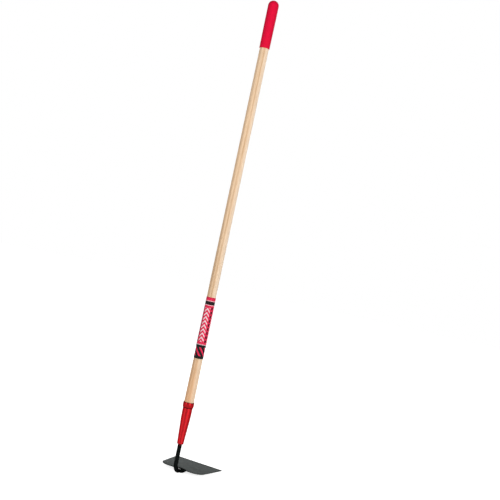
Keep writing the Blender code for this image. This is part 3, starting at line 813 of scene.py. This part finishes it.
class HOE_OT_handle(bpy.types.Operator):
    """Make the turned wooden pole"""

    bl_idname = "hoe.handle"
    bl_label = "Handle"

    def execute(self, context):
        own, ferrule = settings("wood"), settings("ferrule")
        seat = FERRULE_HIGH.z - ferrule.collar / 2
        top = HANDLE_HIGH.z
        wall = ferrule.wall + FIT
        body = ferrule_body(ferrule, 8)
        tenon = [(radius_at(body, HANDLE_LOW.z) - wall, HANDLE_LOW.z)]
        tenon += [(radius - wall, height) for radius, height in body[:-1] if height > HANDLE_LOW.z]
        profile = [(0, HANDLE_LOW.z), *tenon, (tenon[-1][0], seat)]
        reach = top - own.top_round - seat
        rows = ceil(reach / own.row)
        for step in range(rows):
            height = seat + reach * step / rows
            profile.append((pole_radius(own, height), height))
        slim = own.slim / 2
        profile += rounded((slim, seat), (slim, top), (0, top), own.top_round, 12)
        profile.append((0, top))
        bm = spun(profile)
        grain = Vector((60, 60, 9))
        for vert in bm.verts:
            if vert.co.z > seat and vert.co.xy.length > own.top_round:
                vert.co.xy += vert.co.xy.normalized() * own.waver * (noise.noise(vert.co * grain) - 0.5)
        add_piece("handle", bm, wood_finish(own))
        return {"FINISHED"}


class HOE_OT_ferrule(bpy.types.Operator):
    """Make the steel socket and its rivet"""

    bl_idname = "hoe.ferrule"
    bl_label = "Ferrule and rivet"

    def execute(self, context):
        own = settings("ferrule")
        self.add_socket(own)
        self.add_rivet(own)
        return {"FINISHED"}

    def add_socket(self, own):
        """Rounded nose, conical body and a rolled collar round the wood, hollow inside."""
        collar_steps = 36
        bore = BUTT_RADIUS + FIT
        lip = bore + own.lip
        outer = BUTT_RADIUS - own.step_in
        low = FERRULE_HIGH.z - own.collar
        crown = outer + own.collar_rise
        outside = []
        for step in range(1, collar_steps):
            across = 1 - 2 * step / collar_steps
            start = lip if across > 0 else outer
            outside.append((start + (crown - start) * sqrt(1 - across ** 2),
                            low + own.collar * (1 + across) / 2))
        body = ferrule_body(own, 28)
        hole = ROD_RADIUS + FIT
        corner = (hole + own.nose_lip, FERRULE_LOW.z)
        nose = rounded(body[0], corner, (ROD_RADIUS, FERRULE_LOW.z), own.nose_round, 10)
        inside = [(radius - own.wall, height) for radius, height in body[:-1]]
        seat = low + own.collar / 4
        profile = [(bore, FERRULE_HIGH.z), (lip, FERRULE_HIGH.z), *outside, *reversed(body), *nose,
                   (hole, FERRULE_LOW.z), (hole, FERRULE_LOW.z + own.nose / 2), *inside,
                   (outer - own.wall, seat), (bore, seat)]
        add_piece("ferrule", spun(profile, closed=True), enamel_finish(own))

    def add_rivet(self, own):
        """A domed head on a plain pin, driven square to the pole from the front."""
        middle = (RIVET_LOW.z + RIVET_HIGH.z) / 2
        cap = (RIVET_HIGH.z - RIVET_LOW.z) / 2
        tip, crown = RIVET_LOW.y - AXIS.y, RIVET_HIGH.y - AXIS.y
        shank, side, rise = cap * 0.47, cap * 0.13, cap * 0.53
        chamfer = shank * 0.4
        head = crown - rise
        profile = [(0, tip), (shank - chamfer, tip), (shank, tip + chamfer), (shank, head), (cap, head),
                   *domed(cap, head + side, rise - side, 14)]
        place = Matrix.Translation(AXIS + UP * middle) @ Matrix.Rotation(-pi / 2, 4, "X")
        add_piece("ferrule_rivet", spun(profile, PIN_FACES), zinc_finish(own), place)


class HOE_OT_grip(bpy.types.Operator):
    """Make the soft cap over the pole's end"""

    bl_idname = "hoe.grip"
    bl_label = "Grip"

    def execute(self, context):
        own, wood = settings("grip"), settings("wood")
        bore = wood.slim / 2 + FIT
        ceiling = HANDLE_HIGH.z + FIT
        barrel_end = (GRIP_RADIUS, GRIP_LOW.z + own.taper)
        rim = (bore + own.rim_wall, GRIP_LOW.z)
        mouth = (bore, GRIP_LOW.z)
        profile = [*reversed(domed(GRIP_RADIUS, GRIP_HIGH.z - own.dome, own.dome, 24)), barrel_end,
                   *rounded(barrel_end, rim, mouth, own.rim_round, 8), mouth,
                   *rounded(mouth, (bore, ceiling), (0, ceiling), wood.top_round, 12), (0, ceiling)]
        add_piece("grip", spun(profile), vinyl_finish(own))
        return {"FINISHED"}


class HOE_OT_sleeve(bpy.types.Operator):
    """Wrap the printed film round the pole"""

    bl_idname = "hoe.sleeve"
    bl_label = "Printed sleeve"

    def execute(self, context):
        own, wood = settings("sleeve"), settings("wood")
        sweep = 2 * pi + own.lap
        columns, rows = 120, 24
        lift = own.wall + FIT / 2  # how far the lapped end lies above the start
        bm = bmesh.new()
        uv = bm.loops.layers.uv.new("print")
        grid = []
        for row in range(rows + 1):
            up = row / rows
            height = SLEEVE_LOW.z + (SLEEVE_HIGH.z - SLEEVE_LOW.z) * up
            line = []
            for column in range(columns + 1):
                turned = sweep * column / columns
                climb = max(0, min(1, (turned - 2 * pi + own.ramp) / own.ramp))
                radius = pole_radius(wood, height) + FIT + lift * climb * climb * (3 - 2 * climb)
                angle = turned + pi / 2 - own.lap / 2
                vert = bm.verts.new((radius * cos(angle), radius * sin(angle), height))
                line.append((vert, (turned / (2 * pi), up)))
            grid.append(line)
        for low, high in zip(grid, grid[1:]):
            for column in range(columns):
                corners = (low[column], low[column + 1], high[column + 1], high[column])
                face = bm.faces.new([corner[0] for corner in corners])
                for loop, corner in zip(face.loops, corners):
                    loop[uv].uv = corner[1]
        piece = add_piece("label_sleeve", bm, film_finish(own))
        sheet = piece.modifiers.new("sheet", "SOLIDIFY")
        sheet.thickness = own.wall
        sheet.offset = 1
        return {"FINISHED"}


class HOE_OT_neck(bpy.types.Operator):
    """Bend the rod under the blade and lay its weld beads"""

    bl_idname = "hoe.neck"
    bl_label = "Neck and welds"

    def execute(self, context):
        own = settings("neck")
        paint = paint_finish(own)
        self.add_rod(own, paint)
        self.add_beads(own, paint)
        return {"FINISHED"}

    def add_rod(self, own, paint):
        """One rod: a foot pressed flat under the blade, a bend, a straight neck and a tang."""
        blade = settings("blade")
        foot = foot_frame()
        forward = foot.to_3x3() @ FORWARD
        end = foot @ (FORWARD * own.foot)
        centre = bend_centre(own)
        stations = [(end, -forward, ROD_RADIUS - own.foot_chamfer),
                    (end - forward * own.foot_chamfer, -forward, ROD_RADIUS)]
        rows = 24
        for step in range(1, rows):
            ahead = (own.foot - own.foot_chamfer) * (1 - step / rows)
            stations.append((foot @ (FORWARD * ahead), -forward, ROD_RADIUS))
        bend_steps = 40
        for step in range(bend_steps + 1):
            angle = blade.rise - (pi / 2 + blade.rise) * step / bend_steps
            spoke = Vector((0, sin(angle), -cos(angle)))
            tangent = Vector((0, -cos(angle), -sin(angle)))
            stations.append((centre + spoke * own.bend_radius, tangent, ROD_RADIUS))
        stations.append((AXIS + UP * HANDLE_LOW.z, UP, ROD_RADIUS))
        tip = ROD_RADIUS / 2
        stations.append((AXIS + UP * (NECK_HIGH.z - own.foot_chamfer), UP, tip))
        stations.append((AXIS + UP * NECK_HIGH.z, UP, tip - own.foot_chamfer / 2))
        bm = swept(stations, ROD_FACES)
        back = foot.inverted()
        seat = ROD_RADIUS - own.seat_depth
        start = blade.setback - own.seat_lead
        for vert in bm.verts:
            local = back @ vert.co
            if local.y > start and seat < local.z < 2 * ROD_RADIUS:
                local.z = seat
                vert.co = foot @ local
        add_piece("neck", bm, paint, Matrix.Identity(4))

    def add_beads(self, own, paint):
        """Two beads under the blade along the foot, and one behind its back edge across the rod."""
        blade = settings("blade")
        foot = foot_frame()
        for name, side in (("weld_left", -1), ("weld_right", 1)):
            place = RIGHT * side * (ROD_RADIUS + own.side_bead_bed)
            first = place + FORWARD * (blade.setback - own.side_bead_lead)
            last = place + FORWARD * (own.foot - own.side_bead_inset)
            bead = self.bead(own, first, last, own.side_bead, own.side_bead_full)
            add_piece(name, bead, paint, foot)
        centre = Vector((own.back_bead_shift, blade.setback - own.back_bead_offset,
                         plate_height() + blade.thickness))
        half = RIGHT * own.back_bead_half
        bead = self.bead(own, centre - half, centre + half, own.back_bead, own.back_bead_full)
        # This bead's paint carries a painted highlight: a grey spot on its back.
        wear_and_glint = paint_finish(own, centre - FORWARD * own.back_bead)
        add_piece("weld_back", bead, wear_and_glint, foot)

    def bead(self, own, start, end, radius, fullness):
        """A bead between two points that thins towards its ends, laid in curved ripples."""
        steps_each, curve, depth, pits, grain = 8, 1.1, 0.05, 0.06, 260
        axis = end - start
        ripples = round(axis.length / own.ripple)
        count = ripples * steps_each
        place = axis.to_track_quat("Z", "Y").to_matrix().to_4x4()
        bm = bmesh.new()
        rings = []
        for step in range(1, count):
            gone = step / count
            swell = (1 - (2 * gone - 1) ** 2) ** fullness
            place.translation = start + axis * gone
            ring = bmesh.ops.create_circle(bm, segments=BEAD_FACES, radius=1, matrix=place)["verts"]
            for vert in ring:
                out = vert.co - place.translation
                phase = 2 * pi * ripples * gone + curve * out.z
                stray = noise.noise(vert.co * grain + out * 0.8) * pits
                vert.co = place.translation + out * radius * swell * (1 + depth * abs(sin(phase / 2)) + stray)
            rings.append(ring)
        return bridged(bm, rings)


class HOE_OT_blade(bpy.types.Operator):
    """Cut the blade's plate and grind its edge"""

    bl_idname = "hoe.blade"
    bl_label = "Blade"

    def execute(self, context):
        own = settings("blade")
        front = (BLADE_HIGH.x - BLADE_LOW.x) / 2
        back = front - own.depth * tan(own.side_angle)
        right = rounded((0, 0), (back, 0), (front, own.depth), own.shoulder, 32)
        right.append(Vector((front, own.depth)))
        left = [Vector((-point.x, point.y)) for point in reversed(right)]
        bm = bmesh.new()
        plate = bm.faces.new([bm.verts.new((point.x, point.y, 0)) for point in right + left])
        raised = bmesh.ops.extrude_face_region(bm, geom=[plate])["geom"]
        bmesh.ops.translate(bm, vec=(0, 0, own.thickness),
                            verts=[part for part in raised if isinstance(part, bmesh.types.BMVert)])
        point = Vector((0, own.depth - own.ground, 0))
        slope = Vector((0, own.ground, own.thickness - own.land))
        sliced = bmesh.ops.bisect_plane(bm, geom=bm.verts[:] + bm.edges[:] + bm.faces[:], dist=MERGE,
                                        plane_co=point, plane_no=Vector((0, slope.z, -slope.y)).normalized(),
                                        clear_outer=True)
        rim = [part for part in sliced["geom_cut"] if isinstance(part, bmesh.types.BMEdge)]
        bmesh.ops.edgeloop_fill(bm, edges=rim)
        outline = [edge for edge in bm.edges
                   if abs(edge.verts[0].co.z - edge.verts[1].co.z) < MERGE
                   and min(vert.co.y for vert in edge.verts) < point.y - own.edge_round]
        bmesh.ops.bevel(bm, geom=outline, offset=own.edge_round, segments=4, profile=0.5, affect="EDGES",
                        clamp_overlap=True)
        bmesh.ops.translate(bm, vec=(0, own.setback, plate_height()), verts=bm.verts)
        add_piece("blade", settled(bm), lacquer_finish(own), foot_frame(), radians(25))
        return {"FINISHED"}


OPERATORS = (HOE_OT_stage, HOE_OT_handle, HOE_OT_ferrule, HOE_OT_grip, HOE_OT_sleeve, HOE_OT_neck,
             HOE_OT_blade)
GROUPS = {"stage": StageSettings, "wood": WoodSettings, "ferrule": FerruleSettings, "grip": GripSettings,
          "sleeve": SleeveSettings, "neck": NeckSettings, "blade": BladeSettings}


class HOE_PT_panel(bpy.types.Panel):
    """Sidebar panel with every operator and its settings"""

    bl_idname = "HOE_PT_panel"
    bl_label = "Garden Hoe"
    bl_space_type = "VIEW_3D"
    bl_region_type = "UI"
    bl_category = "Hoe"

    def draw(self, context):
        for operator, name in zip(OPERATORS, GROUPS):
            column = self.layout.column()
            column.operator(operator.bl_idname)
            group = settings(name)
            for item in group.bl_rna.properties:
                if item.identifier not in ("rna_type", "name"):
                    column.prop(group, item.identifier)


def register():
    """Registers the property groups, the operators and the panel."""
    for name, group in GROUPS.items():
        bpy.utils.register_class(group)
        setattr(bpy.types.Scene, "hoe_" + name, PointerProperty(type=group))
    for item in (*OPERATORS, HOE_PT_panel):
        bpy.utils.register_class(item)


def unregister():
    """Takes back what register added."""
    for item in (HOE_PT_panel, *reversed(OPERATORS)):
        bpy.utils.unregister_class(item)
    for name, group in GROUPS.items():
        delattr(bpy.types.Scene, "hoe_" + name)
        bpy.utils.unregister_class(group)


def main():
    """Builds the stage and every piece."""
    register()
    bpy.ops.hoe.stage()
    bpy.ops.hoe.handle()
    bpy.ops.hoe.ferrule()
    bpy.ops.hoe.grip()
    bpy.ops.hoe.sleeve()
    bpy.ops.hoe.neck()
    bpy.ops.hoe.blade()


if __name__ == "__main__":
    main()
